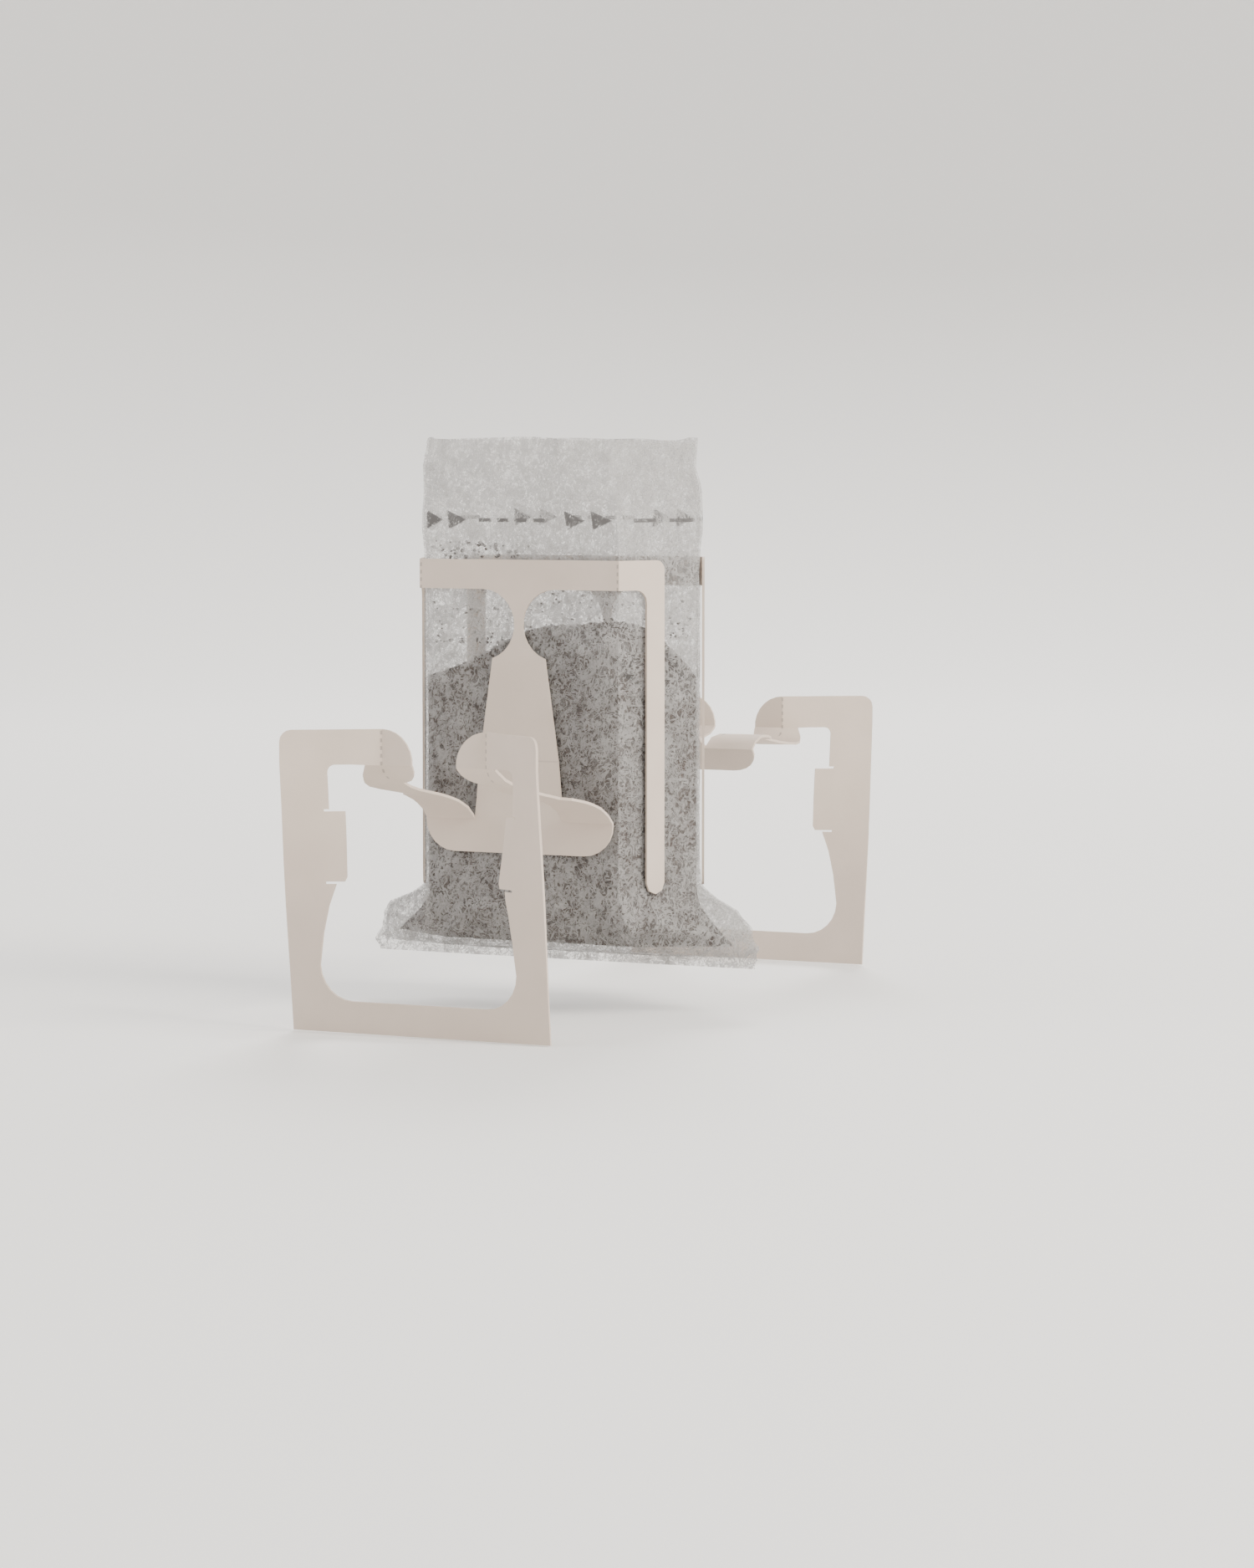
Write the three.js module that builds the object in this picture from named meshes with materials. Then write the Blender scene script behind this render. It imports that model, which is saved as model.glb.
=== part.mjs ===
// Drip coffee bag, opened and ready to hang on a cup.
// A filter bag holds the ground coffee and stands open at the top. On its front and on its back
// sits one die-cut card each: a frame glued round the bag's mouth, a stem and two straps down its
// middle, and a folded-out hanger loop that hooks over the cup's rim.
// Millimetres. +Z is up, X runs across the bag's panels and the front faces -Y.
// The origin is on the bag's centre axis, at the height of the rim that the loops rest on.
import * as THREE from "three";

// Filter bag, measured flat: two panels sealed together along both sides and the bottom
const bagFlatWidth = 74;
const bagTop = 57.5;
const bagBottom = -34.3;
const bagDepth = 33;
const bagWall = 0.35;
const bottomSealHeight = 1.6;
const bottomSealThickness = 0.8;
const taperStart = -21;
const mouthRoundingStart = 38;

// Ground coffee in the bag
const coffeeClearance = 0.3;
const coffeeBottom = -30.5;
const coffeePeak = 25;
const coffeePeakAcross = 7;
const coffeeHeapFall = 11;
const coffeeHeapReach = 19;

// Card sheet and its flat die-cut outline, from the card's middle line and in the bag's heights
const cardThickness = 0.45;
const cardBagGap = 0.3;
const cutWidth = 0.4;
const frameHalfWidth = 28.8;
const frameTop = 36.4;
const frameCornerRadius = 1.7;
const frameCrease = 19;
const topBarHeight = 5.1;
const legWidth = 3.9;
const legBottom = -21;
const legInnerCornerRadius = 2.2;
const lobeRadius = 6.1;
const lobeCentreAcross = 6.9;
const stemCreaseHeight = 1.8;
const stemCreaseHalfWidth = 7.8;
const slitEndHeight = -8.4;
const slitEndAcross = 8.5;
const boatBottom = -14.3;
const boatHalfWidth = 18.1;
const boatCornerRadius = 5.5;
const strapHalfWidth = 13.2;
const strapRootAcross = 9.9;
const strapShoulderAcross = 15;
const armHeight = 6.3;
const loopHalfWidth = 24.25;
const loopBottom = -20.1;
const loopCornerRadius = 2;
const windowHalfWidth = 16.3;
const windowCornerRadius = 1.3;
const tabFold = 17.2;
const tabTop = 17.1;
const tabHeight = 12;

// Card folds, as it hangs
const rimClearance = 2.8;
const lobeSpread = 3;
const armSplay = THREE.MathUtils.degToRad(34);
const loopLean = THREE.MathUtils.degToRad(6);
const tabTurn = THREE.MathUtils.degToRad(7);
const strapEndSlope = THREE.MathUtils.degToRad(52);
const strapBendReach = 9;
const stemBendLength = 5.6;
const frontStemSwing = 0;
const rearStemSwing = THREE.MathUtils.degToRad(44);

// Mesh fineness
const sheetEdge = 3.6;
const ringSteps = { middle: 10, side: 6 };

const coffeeMaterial = new THREE.MeshStandardMaterial({ color: 0x5d554d, roughness: 0.95, metalness: 0 });
const filterMaterial = new THREE.MeshStandardMaterial({ color: 0xdedddb, roughness: 0.85, metalness: 0 });
const cardMaterial = new THREE.MeshStandardMaterial({ color: 0xd6d0ca, roughness: 0.75, metalness: 0 });

// The card's crease lies a gap and a corner away from the bag's own corner, so the bag's middle
// panel is that much narrower than the card between its creases.
const halfDepth = bagDepth / 2;
const { panelHalf, sideWidth } = bagPanels();

function bagPanels() {
  let half = frameCrease;
  let side = 0;
  for (let pass = 0; pass < 12; pass += 1) {
    side = bagFlatWidth / 2 - half;
    const cornerTurn = Math.asin(halfDepth / side);
    half = frameCrease - cardBagGap * Math.tan(cornerTurn / 2);
  }
  return { panelHalf: half, sideWidth: side };
}

function smooth(value, from, to) {
  return THREE.MathUtils.smoothstep(value, from, to);
}

// Half the bag's depth at a height: full beside the card, closing to the bottom seal in a quarter
// of an ellipse, as a filled bag does.
function halfDepthAt(z) {
  const sealTop = bagBottom + bottomSealHeight;
  const down = THREE.MathUtils.clamp((taperStart - z) / (taperStart - sealTop), 0, 1);
  return Math.max(halfDepth * Math.sqrt(1 - down * down), bottomSealThickness / 2);
}

// A point of the bag's outer surface, or of one that lies inset inside it. The place across is
// measured on the flat panel, from its middle line to the side seam, and face is 1 or -1.
function bagPoint(across, face, z, inset = 0) {
  const depth = halfDepthAt(z);
  const sideRun = Math.sqrt(sideWidth ** 2 - depth ** 2);
  const seam = panelHalf + sideRun - (inset * sideWidth) / depth;
  const corner = seam - ((depth - inset) * sideRun) / depth;
  const away = Math.abs(across);
  const round = smooth(z, mouthRoundingStart, bagTop + 4);
  const mouthRadius = bagFlatWidth / Math.PI - inset;
  const angle = (away / (bagFlatWidth / 2)) * (Math.PI / 2);
  let u = (away / panelHalf) * corner;
  let n = depth - inset;
  if (away > panelHalf) {
    const along = (away - panelHalf) / sideWidth;
    u = THREE.MathUtils.lerp(corner, seam, along);
    n = (depth - inset) * (1 - along);
  }
  u = THREE.MathUtils.lerp(u, mouthRadius * Math.sin(angle), round);
  n = THREE.MathUtils.lerp(n, mouthRadius * Math.cos(angle), round);
  return new THREE.Vector3(Math.sign(across) * u, -face * n, z);
}

// The places across the flat bag that a ring passes, once round the bag from seam to seam and back
function ringStations() {
  const stations = [];
  const half = bagFlatWidth / 2;
  for (let i = 0; i < ringSteps.side; i += 1) stations.push(-half + (sideWidth * i) / ringSteps.side);
  for (let i = 0; i < ringSteps.middle; i += 1) {
    stations.push(-panelHalf + (2 * panelHalf * i) / ringSteps.middle);
  }
  for (let i = 0; i < ringSteps.side; i += 1) stations.push(panelHalf + (sideWidth * i) / ringSteps.side);
  const front = stations.map((across) => ({ across, face: 1 }));
  const back = stations.map((across) => ({ across: -across, face: -1 }));
  return [...front, ...back];
}

// A closed body through rings of as many points each, with a fan over the first and the last
function loft(rings) {
  const count = rings[0].length;
  const points = rings.flat();
  const faces = [];
  for (let r = 0; r + 1 < rings.length; r += 1) {
    for (let i = 0; i < count; i += 1) {
      const a = r * count + i;
      const b = r * count + ((i + 1) % count);
      faces.push(a, b, b + count, a, b + count, a + count);
    }
  }
  for (const [ring, turned] of [[rings[0], true], [rings.at(-1), false]]) {
    const start = turned ? 0 : (rings.length - 1) * count;
    const centre = points.length;
    points.push(ring.reduce((sum, p) => sum.add(p), new THREE.Vector3()).divideScalar(count));
    for (let i = 0; i < count; i += 1) {
      const a = start + i;
      const b = start + ((i + 1) % count);
      faces.push(...(turned ? [b, a, centre] : [a, b, centre]));
    }
  }
  return bodyOf(points, faces);
}

function bodyOf(points, faces) {
  const geometry = new THREE.BufferGeometry();
  geometry.setAttribute("position", new THREE.Float32BufferAttribute(points.flatMap((p) => p.toArray()), 3));
  geometry.setIndex(faces);
  geometry.computeVertexNormals();
  return geometry;
}

// Filter bag: up the outside, over the open mouth's edge and down the inside
function filterBagGeometry() {
  const sealTop = bagBottom + bottomSealHeight;
  const heights = [bagBottom, sealTop];
  const taperSteps = 7;
  for (let i = 1; i <= taperSteps; i += 1) {
    const down = Math.cos((i / taperSteps) * (Math.PI / 2));
    heights.push(taperStart - down * (taperStart - sealTop));
  }
  const beside = 4;
  for (let i = 1; i <= beside; i += 1) {
    heights.push(THREE.MathUtils.lerp(taperStart, mouthRoundingStart, i / beside));
  }
  const mouthSteps = 6;
  for (let i = 1; i <= mouthSteps; i += 1) {
    heights.push(THREE.MathUtils.lerp(mouthRoundingStart, bagTop, i / mouthSteps));
  }
  const stations = ringStations();
  const ringAt = (z, inset) => stations.map((s) => bagPoint(s.across, s.face, z, inset));
  const outside = heights.map((z) => ringAt(z, 0));
  const inside = heights.filter((z) => halfDepthAt(z) > 9 * bagWall).map((z) => ringAt(z, bagWall));
  return loft([...outside, ...inside.reverse()]);
}

// Ground coffee: fills the bag's lower part and heaps up a little to one side of the middle
function heapTop(u) {
  const off = (u - coffeePeakAcross) / coffeeHeapReach;
  return coffeePeak - coffeeHeapFall * (1 - Math.exp(-off * off));
}

function coffeeGeometry() {
  const inset = bagWall + coffeeClearance;
  const stations = ringStations();
  const rings = [];
  const levels = 6;
  for (let i = 0; i <= levels; i += 1) {
    const up = 1 - Math.cos((i / levels) * (Math.PI / 2));
    const z = THREE.MathUtils.lerp(coffeeBottom, taperStart, up);
    rings.push(stations.map((s) => bagPoint(s.across, s.face, z, inset)));
  }
  const edge = stations.map((s) => {
    const across = bagPoint(s.across, s.face, 0, inset).x;
    return bagPoint(s.across, s.face, heapTop(across), inset);
  });
  rings.push(edge);
  const topSteps = 4;
  for (let i = 1; i < topSteps; i += 1) {
    const inward = 1 - i / topSteps;
    rings.push(edge.map((p) => new THREE.Vector3(p.x * inward, p.y * inward, heapTop(p.x * inward))));
  }
  return loft(rings);
}

// Hanger card, flat. The cut line between the stem and a strap, from the lobe down to its end.
const barBottom = frameTop - topBarHeight;
const armBottom = barBottom - armHeight;
const lobeCentreHeight = barBottom - lobeRadius;
const tabBottom = tabTop - tabHeight;
const legInner = frameHalfWidth - legWidth;

function slitAcross(z) {
  if (z > stemCreaseHeight) {
    const foot = lobeCentreAcross - 0.26 * lobeRadius;
    const along = (lobeCentreHeight - lobeRadius - z) / (lobeCentreHeight - lobeRadius - stemCreaseHeight);
    return THREE.MathUtils.lerp(foot, stemCreaseHalfWidth, along);
  }
  const along = (stemCreaseHeight - z) / (stemCreaseHeight - slitEndHeight);
  return THREE.MathUtils.lerp(stemCreaseHalfWidth, slitEndAcross, along);
}

// Where the slit meets the circle of the lobe
function lobeFootAngle(radius, aside) {
  let angle = -Math.PI / 2;
  for (let pass = 0; pass < 12; pass += 1) {
    const z = lobeCentreHeight + radius * Math.sin(angle);
    angle = -Math.PI + Math.acos(THREE.MathUtils.clamp((lobeCentreAcross - slitAcross(z) - aside) / radius, -1, 1));
  }
  return angle;
}

// Right half of the card's outline, from the middle of its top to the middle of its loop's bottom
function outlineHalf() {
  const path = new THREE.Path();
  const half = cutWidth / 2;
  path.moveTo(0, frameTop);
  path.lineTo(frameHalfWidth - frameCornerRadius, frameTop);
  path.absarc(frameHalfWidth - frameCornerRadius, frameTop - frameCornerRadius, frameCornerRadius,
    Math.PI / 2, 0, true);
  path.absarc(legInner + legWidth / 2, legBottom + legWidth / 2, legWidth / 2, 0, -Math.PI, true);
  path.absarc(legInner - legInnerCornerRadius, barBottom - legInnerCornerRadius, legInnerCornerRadius,
    0, Math.PI / 2, false);
  const stemFoot = lobeFootAngle(lobeRadius, -half);
  path.lineTo(lobeCentreAcross, barBottom);
  for (let i = 0; i < 3; i += 1) {
    const from = THREE.MathUtils.lerp(Math.PI / 2, stemFoot + 2 * Math.PI, i / 3);
    const to = THREE.MathUtils.lerp(Math.PI / 2, stemFoot + 2 * Math.PI, (i + 1) / 3);
    path.absarc(lobeCentreAcross, lobeCentreHeight, lobeRadius, from, to, false);
  }
  path.lineTo(stemCreaseHalfWidth - half, stemCreaseHeight);
  path.lineTo(slitEndAcross, slitEndHeight);
  path.lineTo(stemCreaseHalfWidth + half, stemCreaseHeight);
  const innerRadius = lobeRadius - cutWidth;
  const strapFoot = lobeFootAngle(innerRadius, half);
  for (let i = 0; i < 3; i += 1) {
    const from = THREE.MathUtils.lerp(strapFoot + 2 * Math.PI, Math.PI / 2, i / 3);
    const to = THREE.MathUtils.lerp(strapFoot + 2 * Math.PI, Math.PI / 2, (i + 1) / 3);
    path.absarc(lobeCentreAcross, lobeCentreHeight, innerRadius, from, to, true);
  }
  const armTop = barBottom - cutWidth;
  path.absarc(loopHalfWidth - loopCornerRadius, armTop - loopCornerRadius, loopCornerRadius,
    Math.PI / 2, 0, true);
  path.lineTo(loopHalfWidth, loopBottom);
  path.lineTo(0, loopBottom);
  return path.getPoints(2);
}

// Right half of the cut between the straps with the boat and the loop. It starts at the middle of
// the boat's bottom edge, goes up the strap's side and comes back down the window's side.
function windowHalf() {
  const path = new THREE.Path();
  const half = cutWidth / 2;
  const cornerAcross = boatHalfWidth - boatCornerRadius;
  const cornerHeight = boatBottom + boatCornerRadius;
  const shoulder = strapShoulderAcross;
  path.moveTo(0, boatBottom);
  path.absarc(cornerAcross, cornerHeight, boatCornerRadius, -Math.PI / 2, 0, false);
  path.quadraticCurveTo(boatHalfWidth - 1, (cornerHeight + tabBottom) / 2 + 2, shoulder, tabBottom);
  path.lineTo(strapHalfWidth, tabBottom + 1);
  path.lineTo(strapHalfWidth, tabTop);
  path.quadraticCurveTo(strapHalfWidth - 1, (tabTop + armBottom) / 2, strapRootAcross, armBottom);
  path.lineTo(windowHalfWidth - windowCornerRadius, armBottom);
  path.absarc(windowHalfWidth - windowCornerRadius, armBottom - windowCornerRadius, windowCornerRadius,
    Math.PI / 2, 0, true);
  path.lineTo(windowHalfWidth, tabTop + cutWidth);
  path.lineTo(tabFold, tabTop + cutWidth);
  path.lineTo(tabFold, tabTop);
  path.lineTo(strapHalfWidth + cutWidth, tabTop);
  path.lineTo(strapHalfWidth + cutWidth, tabBottom + 1);
  path.lineTo(strapHalfWidth + 4 * half, tabBottom + half);
  path.lineTo(tabFold, tabBottom + half);
  path.lineTo(tabFold, tabBottom - half);
  path.lineTo(shoulder + cutWidth, tabBottom - half);
  path.quadraticCurveTo(boatHalfWidth - 1 + cutWidth, (cornerHeight + tabBottom) / 2 + 2,
    boatHalfWidth + cutWidth, cornerHeight);
  path.absarc(cornerAcross, cornerHeight, boatCornerRadius + cutWidth, 0, -Math.PI / 2, true);
  path.lineTo(0, boatBottom - cutWidth);
  return path.getPoints(3);
}

// The whole outline from its right half, with its long straight runs divided
function mirrored(half) {
  const kept = half.filter((p, i) => i === 0 || p.distanceTo(half[i - 1]) > 1e-3);
  const divided = kept.flatMap((p, i) => {
    const next = kept[i + 1];
    if (!next) return [p];
    const parts = Math.ceil(p.distanceTo(next) / sheetEdge);
    return Array.from({ length: parts }, (_, k) => p.clone().lerp(next, k / parts));
  });
  const left = divided.filter((p) => p.x > 1e-6).reverse().map((p) => new THREE.Vector2(-p.x, p.y));
  return [...divided, ...left];
}

// A flat sheet as points and triangles, each point kept once
function triangulated(outline, hole) {
  const points = [...outline, ...hole].map((p) => p.clone());
  const faces = THREE.ShapeUtils.triangulateShape(outline, [hole]);
  return { points, faces };
}

// Splits every triangle edge that needs it, at the same place for both of its triangles
function splitEdges(sheet, cutPoint) {
  const { points, faces } = sheet;
  const cuts = new Map();
  const cut = (a, b) => {
    const key = a < b ? `${a}/${b}` : `${b}/${a}`;
    if (!cuts.has(key)) {
      const at = cutPoint(points[Math.min(a, b)], points[Math.max(a, b)]);
      cuts.set(key, at ? points.push(at) - 1 : -1);
    }
    return cuts.get(key);
  };
  const made = [];
  for (const [a, b, c] of faces) {
    const corners = [a, b, c];
    const middles = [cut(a, b), cut(b, c), cut(c, a)];
    const split = middles.filter((m) => m >= 0).length;
    if (split === 0) {
      made.push(corners);
    } else if (split === 3) {
      const [ab, bc, ca] = middles;
      made.push([a, ab, ca], [ab, b, bc], [ca, bc, c], [ab, bc, ca]);
    } else {
      const first = split === 1 ? middles.findIndex((m) => m >= 0) : (middles.findIndex((m) => m < 0) + 1) % 3;
      const [p, q, r] = [corners[first], corners[(first + 1) % 3], corners[(first + 2) % 3]];
      const pq = middles[first];
      if (split === 1) {
        made.push([p, pq, r], [pq, q, r]);
      } else {
        const qr = middles[(first + 1) % 3];
        made.push([pq, q, qr]);
        if (points[pq].distanceTo(points[r]) < points[p].distanceTo(points[qr])) {
          made.push([p, pq, r], [pq, qr, r]);
        } else {
          made.push([p, pq, qr], [p, qr, r]);
        }
      }
    }
  }
  return { points, faces: made, changed: made.length > faces.length };
}

// A crease runs at one place across or up the card, over a stretch of the other direction
function cardCreases() {
  const upright = (across, from, to) => [1, -1].map((side) => ({ axis: "x", at: side * across, along: "y", from, to }));
  const level = (height, from, to) => [
    { axis: "y", at: height, along: "x", from, to },
    { axis: "y", at: height, along: "x", from: -to, to: -from },
  ];
  return [
    ...upright(frameCrease, barBottom, frameTop),
    ...upright(lobeCentreAcross, armBottom, barBottom - cutWidth),
    ...upright(tabFold, tabBottom, tabTop),
    ...level(armBottom, lobeCentreAcross - lobeRadius, strapRootAcross),
    ...level(slitEndHeight, slitEndAcross, boatHalfWidth),
  ];
}

function onCrease(crease, p, slack = 0.3) {
  return p[crease.along] > crease.from - slack && p[crease.along] < crease.to + slack;
}

function splitAlong(sheet, crease) {
  return splitEdges(sheet, (p, q) => {
    const [from, to] = [p[crease.axis] - crease.at, q[crease.axis] - crease.at];
    if (from * to > -1e-4) return null;
    const crossing = p.clone().lerp(q, from / (from - to));
    return onCrease(crease, crossing) ? crossing : null;
  });
}

// Turns the shared edge of two triangles the other way where that makes them less narrow. An edge
// that lies on a crease stays.
function flipped(sheet, creases) {
  const creased = (p, q) => creases.some((crease) =>
    [p, q].every((end) => Math.abs(end[crease.axis] - crease.at) < 1e-2 && onCrease(crease, end)));
  const { points } = sheet;
  const faces = sheet.faces.map((face) => [...face]);
  const cornerAngle = (at, p, q) => {
    const [toP, toQ] = [points[p].clone().sub(points[at]), points[q].clone().sub(points[at])];
    return Math.atan2(Math.abs(toP.cross(toQ)), toP.dot(toQ));
  };
  for (let pass = 0, turned = 1; pass < 40 && turned > 0; pass += 1) {
    turned = 0;
    const beside = new Map();
    faces.forEach((face, index) => face.forEach((a, i) => beside.set(`${a}/${face[(i + 1) % 3]}`, index)));
    const touched = new Set();
    faces.forEach((face, index) => {
      for (let i = 0; i < 3; i += 1) {
        const [a, b, c] = [face[i], face[(i + 1) % 3], face[(i + 2) % 3]];
        const other = beside.get(`${b}/${a}`);
        if (other === undefined || touched.has(index) || touched.has(other)) continue;
        const d = faces[other].find((corner) => corner !== a && corner !== b);
        const [here, there] = [cornerAngle(c, a, b), cornerAngle(d, a, b)];
        if (here + there < Math.PI + 1e-3) continue;
        if (creased(points[a], points[b]) && Math.max(here, there) < Math.PI - 1e-2) continue;
        faces[index] = [c, a, d];
        faces[other] = [d, b, c];
        touched.add(index).add(other);
        turned += 1;
        return;
      }
    });
  }
  return { points, faces };
}

// Halves each triangle's longest edge until none is longer than this
function refined(sheet, longest, creases) {
  let next = { ...flipped(sheet, creases), changed: true };
  while (next.changed) {
    const worst = new Set();
    for (const face of next.faces) {
      const ends = face.map((a, i) => [a, face[(i + 1) % 3]].map((index) => next.points[index]));
      ends.sort((first, second) => second[0].distanceTo(second[1]) - first[0].distanceTo(first[1]));
      const [p, q] = ends[0];
      if (p.distanceTo(q) > longest) worst.add(p.clone().add(q).toArray().join());
    }
    next = splitEdges(next, (p, q) => (worst.has(p.clone().add(q).toArray().join()) ? p.clone().lerp(q, 0.5) : null));
    next = { ...flipped(next, creases), changed: next.changed };
  }
  return next;
}

function flatCard() {
  const creases = cardCreases();
  let sheet = flipped(triangulated(mirrored(outlineHalf()), mirrored(windowHalf())), []);
  for (const crease of creases) sheet = splitAlong(sheet, crease);
  return refined(sheet, sheetEdge * 1.4, creases);
}

// The frame lies round the bag's front corners, a gap away from it
function framePoint(across, z) {
  const away = Math.abs(across);
  const sideRun = Math.sqrt(sideWidth ** 2 - halfDepth ** 2);
  const face = halfDepth + cardBagGap;
  const past = Math.max(away - frameCrease, 0);
  const u = Math.min(away, frameCrease) + (past * sideRun) / sideWidth;
  return new THREE.Vector3(Math.sign(across) * u, face - (past * halfDepth) / sideWidth, z);
}

// The stem hangs in the frame's plane down to a short bend at the neck, and from there on swung out
function stemPoint(z, swing) {
  const face = halfDepth + cardBagGap;
  const bendTop = lobeCentreHeight + stemBendLength / 2;
  const down = bendTop - z;
  if (swing === 0 || down <= 0) return new THREE.Vector2(face, z);
  const radius = stemBendLength / swing;
  const turned = swing * Math.min(down / stemBendLength, 1);
  const straight = Math.max(down - stemBendLength, 0);
  return new THREE.Vector2(
    face + radius * (1 - Math.cos(turned)) + straight * Math.sin(swing),
    bendTop - radius * Math.sin(turned) - straight * Math.cos(swing),
  );
}

// A strap's run from the boat, where its slit ends, out to the arms that rest on the rim. Its
// reach follows from the strap's flat length.
function strapRun(swing) {
  const start = stemPoint(slitEndHeight, swing);
  const length = armBottom - slitEndHeight;
  const bend = new THREE.Vector2(Math.cos(strapEndSlope), Math.sin(strapEndSlope)).multiplyScalar(strapBendReach);
  const runTo = (reach) => {
    const end = new THREE.Vector2(start.x + reach, rimClearance);
    return new THREE.CubicBezierCurve(start, start.clone().add(bend), end.clone().sub(bend), end);
  };
  let [near, far] = [0, length];
  for (let pass = 0; pass < 30; pass += 1) {
    const middle = (near + far) / 2;
    if (runTo(middle).getLength() > length) far = middle;
    else near = middle;
  }
  return runTo(near);
}

// The lobes stand side by side, and the arms splay outward from their creases
function armPlan(away, reach) {
  const out = Math.max(away - lobeCentreAcross, 0);
  const u = Math.min(away, lobeCentreAcross) + lobeSpread + out * Math.cos(armSplay);
  return new THREE.Vector2(u, reach + out * Math.sin(armSplay));
}

function strapPoint(across, z, run) {
  const along = THREE.MathUtils.clamp((z - slitEndHeight) / (armBottom - slitEndHeight), 0, 1);
  const at = run.getPointAt(along);
  const end = run.getPointAt(1).x;
  const away = Math.abs(across);
  const plan = armPlan(away, end);
  const splay = smooth(along, 0.55, 1);
  const u = THREE.MathUtils.lerp(away + lobeSpread * along, plan.x, splay);
  return new THREE.Vector3(Math.sign(across) * u, at.x + (plan.y - end) * splay, at.y);
}

// Arms, side bars, tabs and bottom bar. The side bars leave the arms at their splay and turn
// straight on their way down to the bottom bar.
function loopPoint(across, z, run) {
  const end = run.getPointAt(1).x;
  const away = Math.abs(across);
  const down = Math.max(armBottom - z, 0);
  const turn = smooth(down, 0, armBottom - boatBottom);
  const barMiddle = (windowHalfWidth + loopHalfWidth) / 2;
  const top = armPlan(barMiddle, end);
  const plan = armPlan(away, end);
  if (down > 0) {
    const angle = armSplay * (1 - turn);
    const middle = new THREE.Vector2(
      THREE.MathUtils.lerp(top.x, barMiddle, turn),
      THREE.MathUtils.lerp(top.y, armPlan(loopHalfWidth, end).y, turn),
    );
    const reach = Math.max(away, tabFold) - barMiddle;
    const onTab = away < tabFold && z > tabBottom - cutWidth && z < tabTop + cutWidth / 2;
    const inward = onTab ? tabFold - away : 0;
    const past = onTab ? reach : away - barMiddle;
    plan.x = middle.x + past * Math.cos(angle) - inward * Math.cos(angle + tabTurn);
    plan.y = middle.y + past * Math.sin(angle) - inward * Math.sin(angle + tabTurn);
  }
  const height = rimClearance + (z > armBottom ? z - armBottom : -down * Math.cos(loopLean));
  return new THREE.Vector3(Math.sign(across) * plan.x, plan.y - down * Math.sin(loopLean), height);
}

// Tells the parts of the flat card apart by the cuts between them
function inWindow(away, z) {
  if (z > armBottom) return false;
  if (z > tabTop) return away < (strapHalfWidth + windowHalfWidth) / 2;
  if (z > tabBottom) return away < strapHalfWidth + cutWidth / 2;
  const cornerHeight = boatBottom + boatCornerRadius;
  if (z > cornerHeight) {
    const curve = new THREE.QuadraticBezierCurve(
      new THREE.Vector2(boatHalfWidth, cornerHeight),
      new THREE.Vector2(boatHalfWidth - 1, (cornerHeight + tabBottom) / 2 + 2),
      new THREE.Vector2(strapShoulderAcross, tabBottom),
    );
    let [low, high] = [0, 1];
    for (let pass = 0; pass < 20; pass += 1) {
      const t = (low + high) / 2;
      if (curve.getPoint(t).y < z) low = t;
      else high = t;
    }
    return away < curve.getPoint(low).x + cutWidth / 2;
  }
  const corner = new THREE.Vector2(away - (boatHalfWidth - boatCornerRadius), z - cornerHeight);
  if (corner.x < 0) return z > boatBottom - cutWidth / 2;
  return corner.length() < boatCornerRadius + cutWidth / 2;
}

function inStem(away, z) {
  if (z < slitEndHeight + 1e-6) return inWindow(away, z);
  const fromLobe = new THREE.Vector2(away - lobeCentreAcross, z - lobeCentreHeight).length();
  if (z > lobeCentreHeight) return away < lobeCentreAcross && fromLobe > lobeRadius - cutWidth / 2;
  if (z > lobeCentreHeight - lobeRadius && fromLobe < lobeRadius - cutWidth / 2) return false;
  return away < slitAcross(z);
}

function foldedPoint(p, swing, run) {
  const away = Math.abs(p.x);
  const pastCorner = new THREE.Vector2(
    Math.max(away - legInner + legInnerCornerRadius, 0),
    Math.max(p.y - barBottom + legInnerCornerRadius, 0),
  );
  if (pastCorner.length() > legInnerCornerRadius - cutWidth / 2) return framePoint(p.x, p.y);
  if (inStem(away, p.y)) {
    const at = stemPoint(p.y, swing);
    return new THREE.Vector3(p.x, at.x, at.y);
  }
  if (inWindow(away, p.y)) return strapPoint(p.x, p.y, run);
  return loopPoint(p.x, p.y, run);
}

// Gives a folded sheet its thickness: the same faces on both sides, joined along every edge
function thickened(points, faces, thickness) {
  const normals = points.map(() => []);
  for (const [a, b, c] of faces) {
    const normal = new THREE.Vector3().crossVectors(
      points[b].clone().sub(points[a]), points[c].clone().sub(points[a])).normalize();
    for (const i of [a, b, c]) normals[i].push(normal);
  }
  const outer = points.map((p, i) => {
    const mean = normals[i].reduce((sum, n) => sum.add(n), new THREE.Vector3()).normalize();
    const least = Math.min(...normals[i].map((n) => n.dot(mean)));
    return p.clone().addScaledVector(mean, thickness / Math.max(least, 0.6));
  });
  const count = points.length;
  const made = faces.flatMap(([a, b, c]) => [a + count, b + count, c + count, c, b, a]);
  const open = new Set(faces.flatMap(([a, b, c]) => [`${a}/${b}`, `${b}/${c}`, `${c}/${a}`]));
  for (const key of open) {
    const [a, b] = key.split("/").map(Number);
    if (!open.has(`${b}/${a}`)) made.push(a, b, b + count, a, b + count, a + count);
  }
  return bodyOf([...points, ...outer], made);
}

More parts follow.
